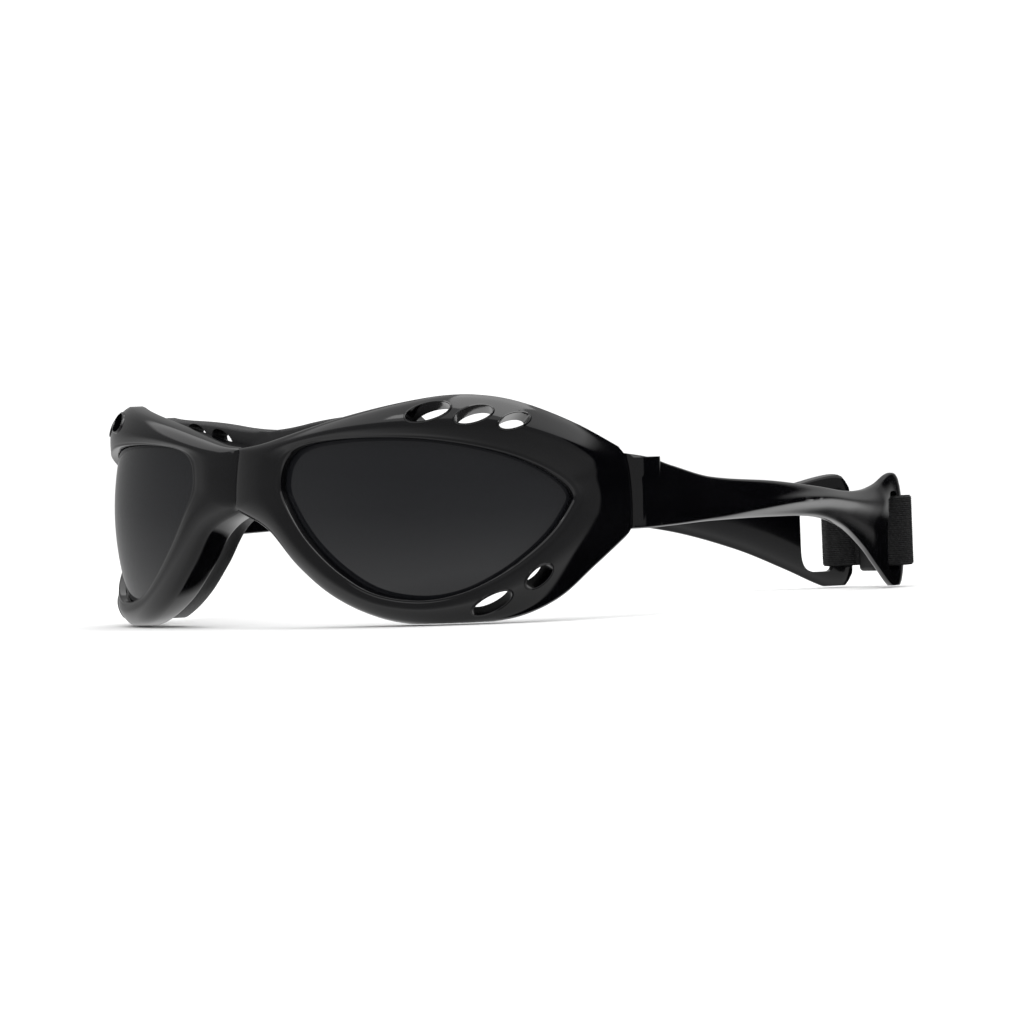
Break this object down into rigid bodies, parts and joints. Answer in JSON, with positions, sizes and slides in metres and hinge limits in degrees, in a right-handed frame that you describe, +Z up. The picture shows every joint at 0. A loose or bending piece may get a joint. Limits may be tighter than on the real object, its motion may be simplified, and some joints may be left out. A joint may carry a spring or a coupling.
{
  "type": "wraparound sport sunglasses",
  "caption": "Gloss black wraparound sport sunglasses with smoke lenses, oval brow and lower vents, a soft face gasket, hinged curved temples and a rear webbing strap",
  "frame": {"origin": "On the table plane under the middle of the box round the glasses", "axes": "The front faces -Y, +X is the wearer's left, +Z is up; the temples run back along +Y"},
  "size_m": [0.1376, 0.1838, 0.0452],
  "materials": {
    "frame_plastic": "high gloss moulded black",
    "smoke_lens": "dark grey smoke, polished",
    "gasket_rubber": "satin black soft rubber",
    "screw_steel": "plain steel",
    "strap_webbing": "ribbed black webbing",
    "slider_plastic": "satin black"
  },
  "bodies": {
    "front": {"front_frame": "frame_plastic", "face_gasket": "gasket_rubber", "lens_left": "smoke_lens", "lens_right": "smoke_lens", "hinge_screw_left": "screw_steel", "hinge_screw_right": "screw_steel"},
    "temple_left_arm": {"temple_left": "frame_plastic", "strap_left": "strap_webbing", "strap_slider": "slider_plastic"},
    "temple_right_arm": {"temple_right": "frame_plastic", "strap_right": "strap_webbing"}
  },
  "joints": [
    {"name": "temple_left_hinge", "type": "hinge", "parent": "front", "child": "temple_left_arm", "pos_m": [0.0643, -0.04029, 0.0245], "axis": [0, 0, 1], "range_deg": [-20, 0]},
    {"name": "temple_right_hinge", "type": "hinge", "parent": "front", "child": "temple_right_arm", "pos_m": [-0.0643, -0.04029, 0.0245], "axis": [0, 0, 1], "range_deg": [0, 20]}
  ]
}
